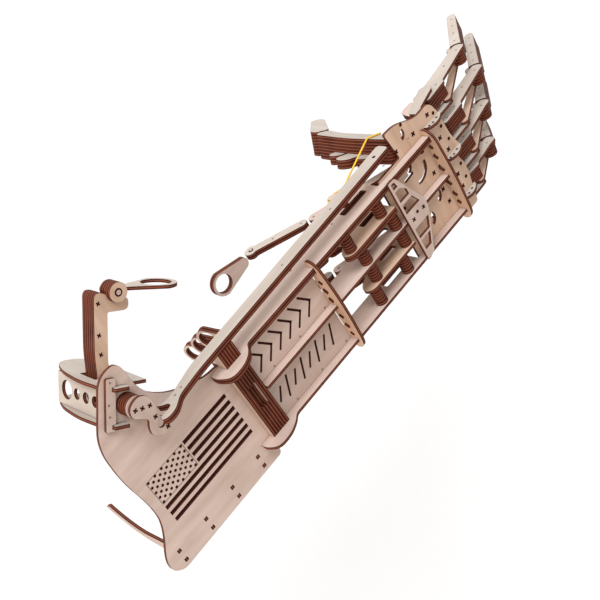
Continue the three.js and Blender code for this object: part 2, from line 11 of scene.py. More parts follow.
import bpy
import numpy as np
from mathutils import Matrix, Vector
from mathutils.geometry import tessellate_polygon


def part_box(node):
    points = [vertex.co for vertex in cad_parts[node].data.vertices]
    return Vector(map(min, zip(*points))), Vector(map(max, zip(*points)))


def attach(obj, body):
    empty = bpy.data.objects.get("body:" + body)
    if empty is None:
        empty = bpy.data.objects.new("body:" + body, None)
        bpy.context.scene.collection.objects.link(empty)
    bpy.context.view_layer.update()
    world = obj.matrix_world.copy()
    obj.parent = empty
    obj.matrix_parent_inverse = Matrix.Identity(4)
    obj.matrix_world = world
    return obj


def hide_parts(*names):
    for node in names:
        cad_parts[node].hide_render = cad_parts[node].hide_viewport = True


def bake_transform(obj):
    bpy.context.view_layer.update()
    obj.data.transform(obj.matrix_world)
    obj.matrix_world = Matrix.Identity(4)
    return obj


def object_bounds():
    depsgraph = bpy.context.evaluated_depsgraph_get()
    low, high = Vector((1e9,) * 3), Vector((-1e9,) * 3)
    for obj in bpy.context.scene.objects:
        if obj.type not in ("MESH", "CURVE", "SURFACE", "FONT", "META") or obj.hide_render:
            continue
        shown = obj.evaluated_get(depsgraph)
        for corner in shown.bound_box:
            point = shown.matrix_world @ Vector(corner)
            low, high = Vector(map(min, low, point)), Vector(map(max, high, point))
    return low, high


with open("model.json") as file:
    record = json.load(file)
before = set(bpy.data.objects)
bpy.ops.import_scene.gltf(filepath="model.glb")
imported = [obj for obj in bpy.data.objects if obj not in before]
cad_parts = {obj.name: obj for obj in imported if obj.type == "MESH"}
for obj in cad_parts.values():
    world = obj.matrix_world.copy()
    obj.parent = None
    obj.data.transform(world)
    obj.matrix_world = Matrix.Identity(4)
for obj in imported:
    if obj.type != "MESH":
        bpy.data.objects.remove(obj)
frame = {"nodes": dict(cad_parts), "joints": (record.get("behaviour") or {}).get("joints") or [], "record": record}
CAD_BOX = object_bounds()

# ---- driving values ----------------------------------------------------------
MM = 0.001
PLY = 3.0 * MM                    # one plywood layer
ENGRAVED = 1.2 * MM               # depth of an engraving
CHAMFER = 0.16 * MM               # rim left by the laser
STRIPE_CHAMFER = 0.12 * MM        # the same, on the engraved upper part of the forearm plate
HIDDEN_CHAMFER = 0.01 * MM        # where two parts of one layer meet
LAYER_SHIFT = 0.10 * MM           # how unevenly the layers of a stack line up
OVERLAP = 0.02 * MM               # how far parts of a piece run into each other
LIFT = 0.05 * MM                  # how far a patch stands off the face below it
SMOOTH_TURN = math.radians(42)    # a sharper corner than this stays a corner
SHARP_EDGE = math.radians(33)     # a sharper fold than this is shaded as an edge
ARC_STEPS = 5                     # new points along each chord of an arc
ARC_REACH = 1.015                 # length of an arc's tangents, in chords
CHORD_RATIO = 2.6                 # an arc's chord is at most this many times its neighbours
MITRE_LIMIT = 0.6                 # keeps the mitre of a sharp corner short
SAME_POINT = 0.01 * MM            # points nearer than this are one point
STRAIGHT = 0.012 * MM             # a corner that stands out less than this is left out
NUDGE = 1e-6                      # keeps a cutting plane off the corners of a solid
SLIVER = 1e-14                    # a triangle is left out if twice its area is less than this
LARGE_GROOVE = 60 * MM * MM       # an opening of more area than this is an engraved stripe
POST_OFFSET = 12.6 * MM           # from a finger's middle to the near face of its post
BRACKET_OFFSET = 9.3 * MM         # from the index finger's middle to its bracket
BAR_HEIGHT = -8 * MM              # the middle of the pull bars' flat layer
CONTROL_TURN = math.radians(-38.3)
RING_TILT = {"index": 4, "middle": 70, "ring": 70, "little": 70}

# the order of a piece's materials
FACE_KIND, EDGE_KIND, BURNT_KIND, POST_KIND = range(4)

X, Y, Z = Vector((1, 0, 0)), Vector((0, 1, 0)), Vector((0, 0, 1))
CONTROL_X = Vector((math.cos(CONTROL_TURN), math.sin(CONTROL_TURN), 0))
CONTROL_Y = Vector((-math.sin(CONTROL_TURN), math.cos(CONTROL_TURN), 0))

RECORD = frame["record"]
JOINTS = {joint["name"]: joint for joint in frame["joints"]}
BODY = {n: body for body, members in RECORD["behaviour"]["bodies"].items() for n in members}
FINGERS = ("index", "middle", "ring", "little")


def added(name, data):
    """A new object in the scene."""
    made = bpy.data.objects.new(name, data)
    bpy.context.scene.collection.objects.link(made)
    return made


# ---- node graphs -------------------------------------------------------------
class Graph:
    """Short names for building a material's nodes."""

    def __init__(self, name, roughness):
        self.material = bpy.data.materials.new(name)
        self.material.use_nodes = True
        self.tree = self.material.node_tree
        self.shader = self.tree.nodes["Principled BSDF"]
        self.shader.inputs["Roughness"].default_value = roughness

    def node(self, kind, values=None, **settings):
        made = self.tree.nodes.new(kind)
        for key, value in settings.items():
            setattr(made, key, value)
        for key, value in (values or {}).items():
            self.put(made.inputs[key], value)
        return made

    def put(self, socket, value):
        if isinstance(value, bpy.types.NodeSocket):
            self.tree.links.new(value, socket)
        else:
            socket.default_value = value

    def look(self, **values):
        """Sets inputs of the shader, with _ for a space in their names."""
        for key, value in values.items():
            self.put(self.shader.inputs[key.replace("_", " ")], value)

    def place(self):
        return self.node("ShaderNodeTexCoord").outputs["Object"]

    def math(self, operation, a, b=0.0, clamp=False):
        made = self.node("ShaderNodeMath", {0: a, 1: b}, operation=operation, use_clamp=clamp)
        return made.outputs[0]

    def ramp(self, factor, *stops):
        made = self.node("ShaderNodeValToRGB", {"Fac": factor})
        elements = made.color_ramp.elements
        while len(elements) < len(stops):
            elements.new(0.5)
        for element, (place, color) in zip(elements, stops):
            element.position = place
            element.color = (*color, 1)
        return made.outputs["Color"]

    def mix(self, factor, a, b, blend="MIX"):
        made = self.node("ShaderNodeMix", data_type="RGBA", blend_type=blend)
        self.put(made.inputs["Factor"], factor)
        self.put(made.inputs["A"], a if isinstance(a, bpy.types.NodeSocket) else (*a, 1))
        self.put(made.inputs["B"], b if isinstance(b, bpy.types.NodeSocket) else (*b, 1))
        return made.outputs["Result"]

    def stretched_noise(self, vector, scale, detail, roughness=0.55):
        placed = self.node("ShaderNodeMapping", {"Vector": vector, "Scale": scale})
        noise = self.node("ShaderNodeTexNoise", {
            "Vector": placed.outputs[0], "Scale": 1.0, "Detail": detail, "Roughness": roughness})
        return noise.outputs["Fac"]

    def bump(self, height, strength, distance):
        made = self.node("ShaderNodeBump", {
            "Height": height, "Strength": strength, "Distance": distance})
        self.tree.links.new(made.outputs[0], self.shader.inputs["Normal"])


def birch_face(name, light, dark):
    """Sanded birch: fine grain along u, soft bands, a few darker flecks."""
    g = Graph(name, 0.62)
    uv = g.node("ShaderNodeUVMap", uv_map="ply").outputs[0]
    tone = g.node("ShaderNodeAttribute", attribute_name="tone").outputs["Fac"]
    broad = g.stretched_noise(uv, (12, 70, 1), 3)
    fine = g.stretched_noise(uv, (90, 1700, 1), 4, 0.65)
    fleck = g.stretched_noise(uv, (260, 2600, 1), 2)
    color = g.ramp(broad, (0.3, dark), (0.72, light))
    color = g.mix(g.math("MULTIPLY", fine, 0.16), color, (0.52, 0.33, 0.2), "MULTIPLY")
    flecks = g.math("MULTIPLY", g.math("SUBTRACT", fleck, 0.66, True), 2.2, True)
    color = g.mix(flecks, color, (0.42, 0.25, 0.15))
    shade = g.math("ADD", 0.9, g.math("MULTIPLY", tone, 0.16))
    color = g.mix(1.0, color, g.node("ShaderNodeCombineColor", {
        "Red": shade, "Green": shade, "Blue": shade}).outputs[0], "MULTIPLY")
    g.look(Base_Color=color, Specular_IOR_Level=0.3,
           Roughness=g.math("ADD", 0.5, g.math("MULTIPLY", fine, 0.25)))
    g.bump(fine, 0.25, 0.00012)
    return g.material


def birch_edge(name):
    """A laser-cut edge: browned, with the paler middle veneer showing through."""
    g = Graph(name, 0.7)
    depth = g.node("ShaderNodeAttribute", attribute_name="depth").outputs["Fac"]
    place = g.place()
    patch = g.stretched_noise(place, (55, 55, 55), 3)
    streak = g.stretched_noise(place, (500, 500, 500), 3)
    veneer = g.ramp(depth, (0.0, (0.010, 0.002, 0.001)), (0.10, (0.045, 0.007, 0.003)),
                    (0.36, (0.070, 0.012, 0.006)), (0.46, (0.34, 0.120, 0.062)),
                    (0.60, (0.30, 0.100, 0.050)), (0.70, (0.060, 0.010, 0.005)),
                    (0.88, (0.042, 0.007, 0.003)), (1.0, (0.010, 0.002, 0.001)))
    tint = g.ramp(patch, (0.35, (0.045, 0.007, 0.003)), (0.65, (0.16, 0.038, 0.019)))
    color = g.mix(0.35, veneer, tint)
    color = g.mix(g.math("MULTIPLY", streak, 0.5), color, (0.62, 0.48, 0.40), "MULTIPLY")
    g.look(Base_Color=color, Specular_IOR_Level=0.12)
    g.bump(streak, 0.35, 0.0002)
    return g.material


def burnt(name):
    """The floor of an engraved area."""
    g = Graph(name, 0.85)
    place = g.place()
    soot = g.stretched_noise(place, (700, 700, 700), 4)
    color = g.ramp(soot, (0.3, (0.014, 0.003, 0.002)), (0.7, (0.055, 0.010, 0.007)))
    g.look(Base_Color=color, Specular_IOR_Level=0.1)
    g.bump(soot, 0.5, 0.0003)
    return g.material


def rubber(name):
    """Yellow rubber with a little dust."""
    g = Graph(name, 0.45)
    place = g.place()
    dust = g.stretched_noise(place, (400, 400, 400), 3)
    color = g.ramp(dust, (0.3, (0.74, 0.37, 0.015)), (0.7, (0.86, 0.48, 0.03)))
    g.look(Base_Color=color, Subsurface_Weight=0.15)
    g.bump(dust, 0.2, 0.0001)
    return g.material


FACE = birch_face("birch_face", (0.62, 0.48, 0.41), (0.49, 0.355, 0.29))
FACE_PALE = birch_face("birch_pale", (0.50, 0.435, 0.375), (0.43, 0.355, 0.295))
FACE_WARM = birch_face("birch_warm", (0.63, 0.445, 0.325), (0.47, 0.305, 0.21))
EDGE = birch_edge("birch_burnt_edge")
BURNT = burnt("engraved_floor")
BAND = rubber("yellow_rubber")


# ---- sections of the frame ---------------------------------------------------
def welded(node):
    """A CAD node's corners and triangles, with equal corners merged."""
    mesh = frame["nodes"][node].data
    mesh.calc_loop_triangles()
    index, corners, new_index = {}, [], []
    for vertex in mesh.vertices:
        key = tuple(round(c, 7) for c in vertex.co)
        if key not in index:
            index[key] = len(corners)
            corners.append(vertex.co.copy())
        new_index.append(index[key])
    triangles = [tuple(new_index[i] for i in t.vertices) for t in mesh.loop_triangles]
    return corners, [t for t in triangles if len(set(t)) == 3]


class Stack:
    """The plane of a piece's layers: u along the grain, v across it, w through the layers.

    Without a given u, the grain runs along the longer of the object's axes in that plane.
    """

    def __init__(self, node, w, u=None):
        self.w = w.normalized()
        self.corners, self.triangles = welded(node)
        if u is None:
            flat = [axis for axis in (X, Y, Z) if abs(axis.dot(self.w)) < 0.9]
            reaches = [[corner.dot(axis) for corner in self.corners] for axis in flat]
            spans = [max(reach) - min(reach) for reach in reaches]
            u = flat[spans.index(max(spans))]
        self.v = self.w.cross(u).normalized()
        self.u = self.v.cross(self.w)
        self.heights = [corner.dot(self.w) for corner in self.corners]
        self.low, self.high = min(self.heights), max(self.heights)

    def section(self, height):
        """Closed outlines, as (u, v) points, where the plane at this height cuts the solid."""
        height += NUDGE
        points, links = {}, {}
        for triangle in self.triangles:
            crossed = []
            for a, b in zip(triangle, triangle[1:] + triangle[:1]):
                if (self.heights[a] < height) != (self.heights[b] < height):
                    key = (min(a, b), max(a, b))
                    start, stop = self.heights[key[0]], self.heights[key[1]]
                    share = (height - start) / (stop - start)
                    spot = self.corners[key[0]].lerp(self.corners[key[1]], share)
                    points[key] = (spot.dot(self.u), spot.dot(self.v))
                    crossed.append(key)
            if len(crossed) == 2:
                links.setdefault(crossed[0], []).append(crossed[1])
                links.setdefault(crossed[1], []).append(crossed[0])
        loops, seen = [], set()
        for start in links:
            if start in seen:
                continue
            loop, here = [], start
            while here is not None and here not in seen:
                seen.add(here)
                loop.append(points[here])
                here = next((n for n in links[here] if n not in seen), None)
            loops.append(loop)
        return [cleaned for cleaned in map(clean, loops) if len(cleaned) > 2]

    def layers(self):
        """(bottom, top) of each layer, counted from the high side."""
        count = max(1, round((self.high - self.low) / PLY))
        edges = [self.high - i * PLY for i in range(count)] + [self.low]
        return [(low, high) for high, low in zip(edges, edges[1:])]


def turn_of(a, b, c):
    """Twice the area of a triangle, positive when it runs anticlockwise."""
    return (b[0] - a[0]) * (c[1] - a[1]) - (b[1] - a[1]) * (c[0] - a[0])


def clean(loop):
    """Leaves out repeated points and points on a straight line."""
    out = []
    for point in loop:
        if not out or math.dist(point, out[-1]) > SAME_POINT:
            out.append(point)
    while len(out) > 1 and math.dist(out[0], out[-1]) <= SAME_POINT:
        out.pop()
    changed = True
    while changed and len(out) > 3:
        changed = False
        for i in range(len(out)):
            a, b, c = out[i - 1], out[i], out[(i + 1) % len(out)]
            if abs(turn_of(a, b, c)) < STRAIGHT * math.dist(a, c):
                out.pop(i)
                changed = True
                break
    return out


def area_of(loop):
    """The area of an outline, positive when it runs anticlockwise."""
    return 0.5 * sum(a[0] * b[1] - b[0] * a[1] for a, b in zip(loop, loop[1:] + loop[:1]))


def smooth(loop):
    """Puts extra points on the arcs of a faceted outline, not on its corners and straights."""
    points = [Vector(p) for p in loop]
    count = len(points)
    chords = [points[(i + 1) % count] - points[i] for i in range(count)]
    turns = [abs(chords[i - 1].angle_signed(chords[i], 0.0)) for i in range(count)]
    soft = [turn < SMOOTH_TURN for turn in turns]

    def curved(i):
        if not (soft[i] and soft[(i + 1) % count]):
            return False
        near = min(chords[i - 1].length, chords[(i + 1) % count].length)
        return chords[i].length < CHORD_RATIO * near

    arcs = [curved(i) for i in range(count)]
    tangents = []
    for i in range(count):
        before, after = chords[i - 1], chords[i]
        if arcs[i - 1] and arcs[i]:
            tangent = before.normalized() / before.length + after.normalized() / after.length
        elif arcs[i]:
            tangent = before if soft[i] else after
        else:
            tangent = after if soft[i] else before
        tangents.append(tangent.normalized())
    out = []
    for i in range(count):
        start, stop = points[i], points[(i + 1) % count]
        out.append(tuple(start))
        if not arcs[i]:
            continue
        reach = ARC_REACH * chords[i].length
        t0, t1 = tangents[i] * reach, tangents[(i + 1) % count] * reach
        for k in range(1, ARC_STEPS):
            t = k / ARC_STEPS
            t2, t3 = t * t, t * t * t
            spot = start * (2 * t3 - 3 * t2 + 1) + t0 * (t3 - 2 * t2 + t)
            spot += stop * (3 * t2 - 2 * t3) + t1 * (t3 - t2)
            out.append(tuple(spot))
    return out


def inset(loop, amount):
    """The outline moved towards its left-hand side."""
    out = []
    for i, (x, y) in enumerate(loop):
        ax, ay = loop[i - 1]
        bx, by = loop[(i + 1) % len(loop)]
        before = Vector((x - ax, y - ay)).normalized()
        after = Vector((bx - x, by - y)).normalized()
        normal = Vector((-before.y - after.y, before.x + after.x))
        scale = 2 * amount / max(normal.length_squared, MITRE_LIMIT)
        out.append((x + normal.x * scale, y + normal.y * scale))
    return out


def inside(point, loop):
    x, y = point
    hit = False
    for (ax, ay), (bx, by) in zip(loop, loop[1:] + loop[:1]):
        if (ay > y) != (by > y) and x < (bx - ax) * (y - ay) / (by - ay) + ax:
            hit = not hit
    return hit


def nested(loops):
    """Groups outlines as (outer, holes): outer runs anticlockwise and holes clockwise."""
    ordered = sorted(loops, key=lambda loop: -abs(area_of(loop)))
    groups = []
    for loop in ordered:
        owner = next((g for g in groups if inside(loop[0], g[0])), None)
        if owner is None:
            groups.append((loop if area_of(loop) > 0 else loop[::-1], []))
        else:
            owner[1].append(loop if area_of(loop) < 0 else loop[::-1])
    return groups


# ---- plywood meshes ----------------------------------------------------------
class Ply:
    """Collects plywood layers into one object."""

    def __init__(self, name, seed):
        self.name = name
        self.random = random.Random(seed)
        self.points, self.faces, self.kinds = [], [], []
        self.depths, self.uvs, self.tones = [], [], []
        self.offset = (self.random.random(), self.random.random())

    def add_point(self, stack, u, v, w, depth, tone):
        spot = stack.u * u + stack.v * v + stack.w * w
        self.points.append(tuple(spot))
        self.depths.append(depth)
        self.uvs.append((u + self.offset[0], v + self.offset[1]))
        self.tones.append(tone)
        return len(self.points) - 1

    def layer(self, stack, outer, holes, low, high, chamfer=CHAMFER,
              kinds=(FACE_KIND, EDGE_KIND)):
        """One sheet between two heights, with chamfered rims."""
        tone = self.random.random()
        rings = []
        for loop in [outer, *holes]:
            tight = inset(loop, chamfer)
            rings.append([
                [self.add_point(stack, u, v, w, depth, tone) for u, v in line]
                for line, w, depth in (
                    (tight, low, 0.0), (loop, low + chamfer, 0.06),
                    (loop, high - chamfer, 0.94), (tight, high, 1.0))])
        for ring in rings:
            for lower, upper in zip(ring, ring[1:]):
                count = len(lower)
                for i in range(count):
                    j = (i + 1) % count
                    self.faces.append((lower[i], lower[j], upper[j], upper[i]))
                    self.kinds.append(kinds[1])
        for level, flip in ((0, True), (3, False)):
            self.cap(stack, [ring[level] for ring in rings], kinds[0], flip, SLIVER)

    def flat(self, stack, i):
        spot = Vector(self.points[i])
        return spot.dot(stack.u), spot.dot(stack.v)

    def cap(self, stack, rings, kind, flip=False, smallest=0.0):
        """Fills rings of points with triangles that face along w, or against it when flipped."""
        indices = [i for ring in rings for i in ring]
        lines = [[Vector((*self.flat(stack, i), 0)) for i in ring] for ring in rings]
        for corners in tessellate_polygon(lines):
            face = tuple(indices[corner] for corner in corners)
            turn = turn_of(*(self.flat(stack, i) for i in face))
            if abs(turn) < smallest:
                continue
            self.faces.append(face[::-1] if (turn <= 0) != flip else face)
            self.kinds.append(kind)

    def fill(self, stack, loops, height, kind):
        """A flat patch, such as the floor of an engraving."""
        for outer, holes in nested(loops):
            self.cap(stack, [[self.add_point(stack, u, v, height, 0.5, 0.5) for u, v in loop]
                             for loop in [outer, *holes]], kind)

    def object(self, materials):
        mesh = bpy.data.meshes.new(self.name)
        mesh.from_pydata(self.points, [], self.faces)
        for material in materials:
            mesh.materials.append(material)
        mesh.polygons.foreach_set("material_index", self.kinds)
        uv = mesh.uv_layers.new(name="ply")
        corners = np.zeros(len(mesh.loops), np.int32)
        mesh.loops.foreach_get("vertex_index", corners)
        uv.data.foreach_set("uv", np.array(self.uvs, np.float32)[corners].ravel())
        for label, values in (("depth", self.depths), ("tone", self.tones)):
            mesh.attributes.new(label, "FLOAT", "POINT").data.foreach_set(
                "value", np.array(values, np.float32))
        mesh.polygons.foreach_set("use_smooth", [True] * len(mesh.polygons))
        mesh.update()
        mesh.set_sharp_from_angle(angle=SHARP_EDGE)
        return added(self.name, mesh)


def half_plane(loop, normal, limit):
    """The part of an outline where normal . point is at most limit."""
    out = []
    for a, b in zip(loop, loop[1:] + loop[:1]):
        da = normal[0] * a[0] + normal[1] * a[1] - limit
        db = normal[0] * b[0] + normal[1] * b[1] - limit
        if da <= 0:
            out.append(a)
        if (da < 0 < db) or (db < 0 < da):
            t = da / (da - db)
            out.append((a[0] + (b[0] - a[0]) * t, a[1] + (b[1] - a[1]) * t))
    return clean(out) if len(out) > 2 else []


def below(height):
    """What half_plane keeps of an upright Y, X stack, whose v points down, under a height."""
    return (0, -1), height


def above(height):
    """The same, over a height."""
    return (0, 1), -height


def build_layers(ply, stack, spans, keep=None, kinds=(FACE_KIND, EDGE_KIND)):
    """Adds a layer for each (low, high) span, from the frame's section at its middle.

    keep is the normal and limit of the half plane that is kept of each section.
    """
    for low, high in spans:
        loops = stack.section((low + high) / 2)
        if keep:
            loops = [part for part in (half_plane(loop, *keep) for loop in loops) if len(part) > 2]
        loops = [smooth(loop) for loop in loops]
        slip = ply.random.uniform(0, LAYER_SHIFT) if len(spans) > 1 else 0
        for outer, holes in nested(loops):
            outer = inset(outer, slip) if slip else outer
            ply.layer(stack, outer, holes, low, high, kinds=kinds)


def finish_piece(ply, node, materials=(FACE, EDGE, BURNT)):
    """Puts a finished sub-part in its CAD node's place, on the same body."""
    made = ply.object(materials)
    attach(made, BODY[node])
    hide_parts(node)


def plywood(node, axis, u=None, materials=(FACE, EDGE, BURNT)):
    """A whole CAD node as a stack of layers."""
    stack = Stack(node, axis, u)
    ply = Ply(node + "_wood", node)
    build_layers(ply, stack, stack.layers())
    finish_piece(ply, node, materials)


# ---- the pieces --------------------------------------------------------------
PALE = (FACE_PALE, EDGE, BURNT)
WARM = (FACE_WARM, EDGE, BURNT)


def simple_pieces():
    """Every sub-part whose layers all lie one way."""
    for i in range(1, 5):
        plywood(f"forearm_rib_{i}", X)
    for node in ("wrist_block", "rod_guide"):
        plywood(node, X)
    for node in ("box_arch", "palm_arch"):
        plywood(node, X, materials=WARM)
    for node in ("rail_thumb", "rail_middle", "rail_little"):
        plywood(node, Y)
    for node in ("rail_inner_thumb", "rail_inner_little"):
        plywood(node, Y, materials=WARM)
    for row in (1, 2):
        for bay in range(1, 5):
            plywood(f"spacer_{row}_{bay}", Y)
    for node in ("thumb_crank", "thumb_axle"):
        plywood(node, Z)
    plywood("thumb_lever", Z, materials=WARM)
    plywood("wrist_bridge", Z, Y)
    plywood("thumb_rod", Y, materials=PALE)
    for node in ("shelf_upper", "shelf_lower"):
        plywood(node, CONTROL_Y, Z, PALE)
    plywood("thumb_ring", CONTROL_Y, CONTROL_X, PALE)
    plywood("shelf_wall", CONTROL_X, Z, PALE)
    thumb_axis = Vector(JOINTS["thumb_beam_curl"]["axis"])
    for node in ("thumb_beam", "thumb_tip"):
        plywood(node, thumb_axis, Z, PALE)
    for finger in FINGERS:
        for part in ("proximal", "distal", "link"):
            plywood(f"{finger}_{part}", Y, X, PALE)
        plywood(f"{finger}_coupler", Y, X, WARM)
        lean = math.radians(RING_TILT[finger])
        plywood(f"{finger}_finger_ring", Vector((-math.sin(lean), 0, math.cos(lean))),
                Vector((math.cos(lean), 0, math.sin(lean))))


def forearm_plate():
    """Full outline below, engraved stripes above, and a stiffening strip on top."""
    node = "forearm_plate"
    stack = Stack(node, Z, X)
    ply = Ply(node + "_wood", node)
    split = PLY - ENGRAVED
    lower = [smooth(loop) for loop in stack.section(split / 2)]
    upper = [smooth(loop) for loop in stack.section(PLY - ENGRAVED / 2)]
    for outer, holes in nested(lower):
        ply.layer(stack, outer, holes, 0, split + OVERLAP, HIDDEN_CHAMFER)
    for outer, holes in nested(upper):
        ply.layer(stack, outer, holes, split, PLY, STRIPE_CHAMFER)
        grooves = [hole for hole in holes if abs(area_of(hole)) > LARGE_GROOVE]
        ply.fill(stack, grooves, split + LIFT, BURNT_KIND)
    build_layers(ply, stack, [(PLY, 2 * PLY)])
    finish_piece(ply, node)


def box_panels():
    for side in ("thumb", "little"):
        plywood(f"box_panel_{side}", Z, X)


def palm_plate():
    """A flat layer, with the knuckle posts and the index bracket below and the crests above."""
    node = "palm_plate"
    flat = Stack(node, Z, Y)
    ply = Ply(node + "_wood", node)
    build_layers(ply, flat, [(0, PLY)])
    upright = Stack(node, Y, X)
    uprights = [JOINTS[f"{finger}_proximal_curl"]["pos_m"][1] - POST_OFFSET for finger in FINGERS]
    uprights.append(JOINTS["index_proximal_curl"]["pos_m"][1] + BRACKET_OFFSET)
    for low in uprights:
        build_layers(ply, upright, [(low, low + PLY)], below(OVERLAP), (POST_KIND, EDGE_KIND))
    crests = sorted({round(corner.y, 6) for corner in upright.corners if corner.z > 2 * PLY})
    for low, high in zip(crests[::2], crests[1::2]):
        build_layers(ply, upright, [(low, high)], above(PLY), (POST_KIND, EDGE_KIND))
    finish_piece(ply, node, (*WARM, FACE_PALE))


def pull_bars():
    """A flat bar, a doubled arm below and above it at the link, and a doubled toe below it."""
    for finger in FINGERS:
        node = f"{finger}_pull_bar"
        flat = Stack(node, Z, X)
        ply = Ply(node + "_wood", node)
        low, high = BAR_HEIGHT - PLY / 2, BAR_HEIGHT + PLY / 2
        build_layers(ply, flat, [(low, high)])
        upright = Stack(node, Y, X)
        arm = JOINTS[f"{finger}_link_swing"]["pos_m"][1]
        toe = JOINTS[f"{finger}_proximal_curl"]["pos_m"][1]
        for centre, keep in ((arm, below(low)), (toe, below(low)), (arm, above(high))):
            build_layers(ply, upright, [(centre - PLY, centre), (centre, centre + PLY)], keep)
        finish_piece(ply, node)


# ---- marks on the faces, in millimetres --------------------------------------
CROSS_TURN = 0.6            # how far the tenon crosses are turned, in radians
PEG_SIDES = 14              # corners of a small disc
STROKE = 1.1                # half the width of a stroke on the box panels
LEVER_TOP, HUB_TOP = -25, -19
PALM_CROSSES = ((371.9, 59.2), (373.1, 30.6), (376, 14.5), (372.7, -13.7), (371.5, -27.9),
                (347.7, 56.8), (347.5, 36), (348.2, 9), (348.8, -11.6), (349.1, -27),
                (321.5, 57.6), (305, -30))
PALM_DOTS = ((379.1, 55.6), (380.5, 38.8), (382.1, 22.5), (381.5, -7.8), (380.1, -22.8),
             (340, 74), (306, 38), (300, 8))
CREST_DOTS = ((52.5, ((377, 7), (370, 8.5), (365, 7.5))),
              (10, ((382, 7), (375, 8.5), (370, 8))),
              (-35, ((377, 7), (370, 8.5))))      # y of the face, then x and z of its dots
RAIL_PINS = (106, 164, 222.9, 262, 300, 338)
STRIP_PINS = ((-17.2, 1.5), (-16, 19.5), (-16.5, -8))
CRANK_CROSSES = ((-2.3, -1.9), (4.1, -1.1), (11.0, 0.1), (16.2, -9.9), (28.0, -20.0))
LEVER_CROSSES = ((-7.1, 75.4), (-6.6, 49.7), (-5.1, 33.8))
ROD_PINS = ((11.8, 16.2), (20, 15), (159.9, 6.6), (230.3, 4.2))


class Face:
    """A flat face: its outward normal, its height along it, and two directions in it."""

    def __init__(self, normal, height, u):
        self.w, self.height = normal, height * MM
        self.v = normal.cross(u).normalized()
        self.u = self.v.cross(normal)

    def spot(self, point):
        place = Vector(point) * MM
        return place.dot(self.u), place.dot(self.v)


def disc(centre, radius, count=20):
    """A round outline."""
    return [(centre[0] + radius * math.cos(2 * math.pi * k / count),
             centre[1] + radius * math.sin(2 * math.pi * k / count)) for k in range(count)]


def cross(centre, reach, half, turn):
    """A plus-shaped outline."""
    arm = [(reach, -half), (reach, half), (half, half)]
    out = []
    for k in range(4):
        angle = turn + k * math.pi / 2
        c, s = math.cos(angle), math.sin(angle)
        out += [(centre[0] + x * c - y * s, centre[1] + x * s + y * c) for x, y in arm]
    return out


def stroke(a, b, half):
    """A straight bar with square ends."""
    run = Vector((b[0] - a[0], b[1] - a[1])).normalized() * half
    side = Vector((-run.y, run.x))
    return [(a[0] - run.x - side.x, a[1] - run.y - side.y),
            (b[0] + run.x - side.x, b[1] + run.y - side.y),
            (b[0] + run.x + side.x, b[1] + run.y + side.y),
            (a[0] - run.x + side.x, a[1] - run.y + side.y)]


class Marks:
    """Engraved strokes, tenon ends and pin ends that ride on one body."""

    def __init__(self, name, body, slot="birch_ply"):
        self.ply, self.body, self.slot = Ply(name, name), body, slot

    def engrave(self, face, loops):
        self.ply.fill(face, loops, face.height + LIFT, BURNT_KIND)

    def peg(self, face, loop, rise=0.25 * MM):
        self.ply.layer(face, loop, [], face.height, face.height + rise, 0.08 * MM)

    def pins(self, face, points, radius):
        for point in points:
            centre = face.spot(point)
            self.engrave(face, [disc(centre, radius * MM)])
            self.peg(face, disc(centre, 0.55 * radius * MM, PEG_SIDES))

    def dots(self, face, points, radius=1.8):
        for point in points:
            self.engrave(face, [disc(face.spot(point), radius * MM)])

    def crosses(self, face, points, reach=2.6, half=0.95):
        for point in points:
            angle = CROSS_TURN + self.ply.random.uniform(-0.1, 0.1)
            self.engrave(face, [cross(face.spot(point), reach * MM, half * MM, angle)])

    def done(self):
        """Makes the object, which stands beside the pieces and replaces none."""
        made = self.ply.object((FACE, EDGE, BURNT))
        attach(made, self.body)


def from_control(x, y, z=0.0):
    """A point of the thumb control's turned axes, in millimetres of the object's own."""
    pivot = Vector(JOINTS["thumb_lever_swing"]["pos_m"]) / MM
    place = pivot + CONTROL_X * x + CONTROL_Y * y
    return place.x, place.y, z


def top_of(node):
    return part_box(node)[1].z / MM


def flat_points(points):
    """(x, y) pairs as points of a level face, whose own height counts instead of z."""
    return [(x, y, 0) for x, y in points]


def rectangle(low, high):
    return flat_points([(low[0], low[1]), (high[0], low[1]), (high[0], high[1]), (low[0], high[1])])


def relief_field():
    """Staggered round dots inside a thin border, at the end of the shorter stripes."""
    marks = Marks("relief_dots", "frame", "birch_face")
    face = Face(Z, PLY / MM, X)
    low, high = (-50.0, -2.7), (-5.6, 24.6)
    border, columns, rows = 0.44, 11, 9
    outer = rectangle(low, high)
    inner = rectangle((low[0] + border, low[1] + border), (high[0] - border, high[1] - border))
    marks.engrave(face, [[face.spot(point) for point in ring] for ring in (outer, inner)])
    for i in range(columns):
        for k in range(i % 2, rows, 2):
            x = low[0] + (i + 0.5) * (high[0] - low[0]) / columns
            y = low[1] + (k + 0.5) * (high[1] - low[1]) / rows
            marks.engrave(face, [disc(face.spot((x, y, 0)), 1.4 * MM, PEG_SIDES)])
    marks.done()


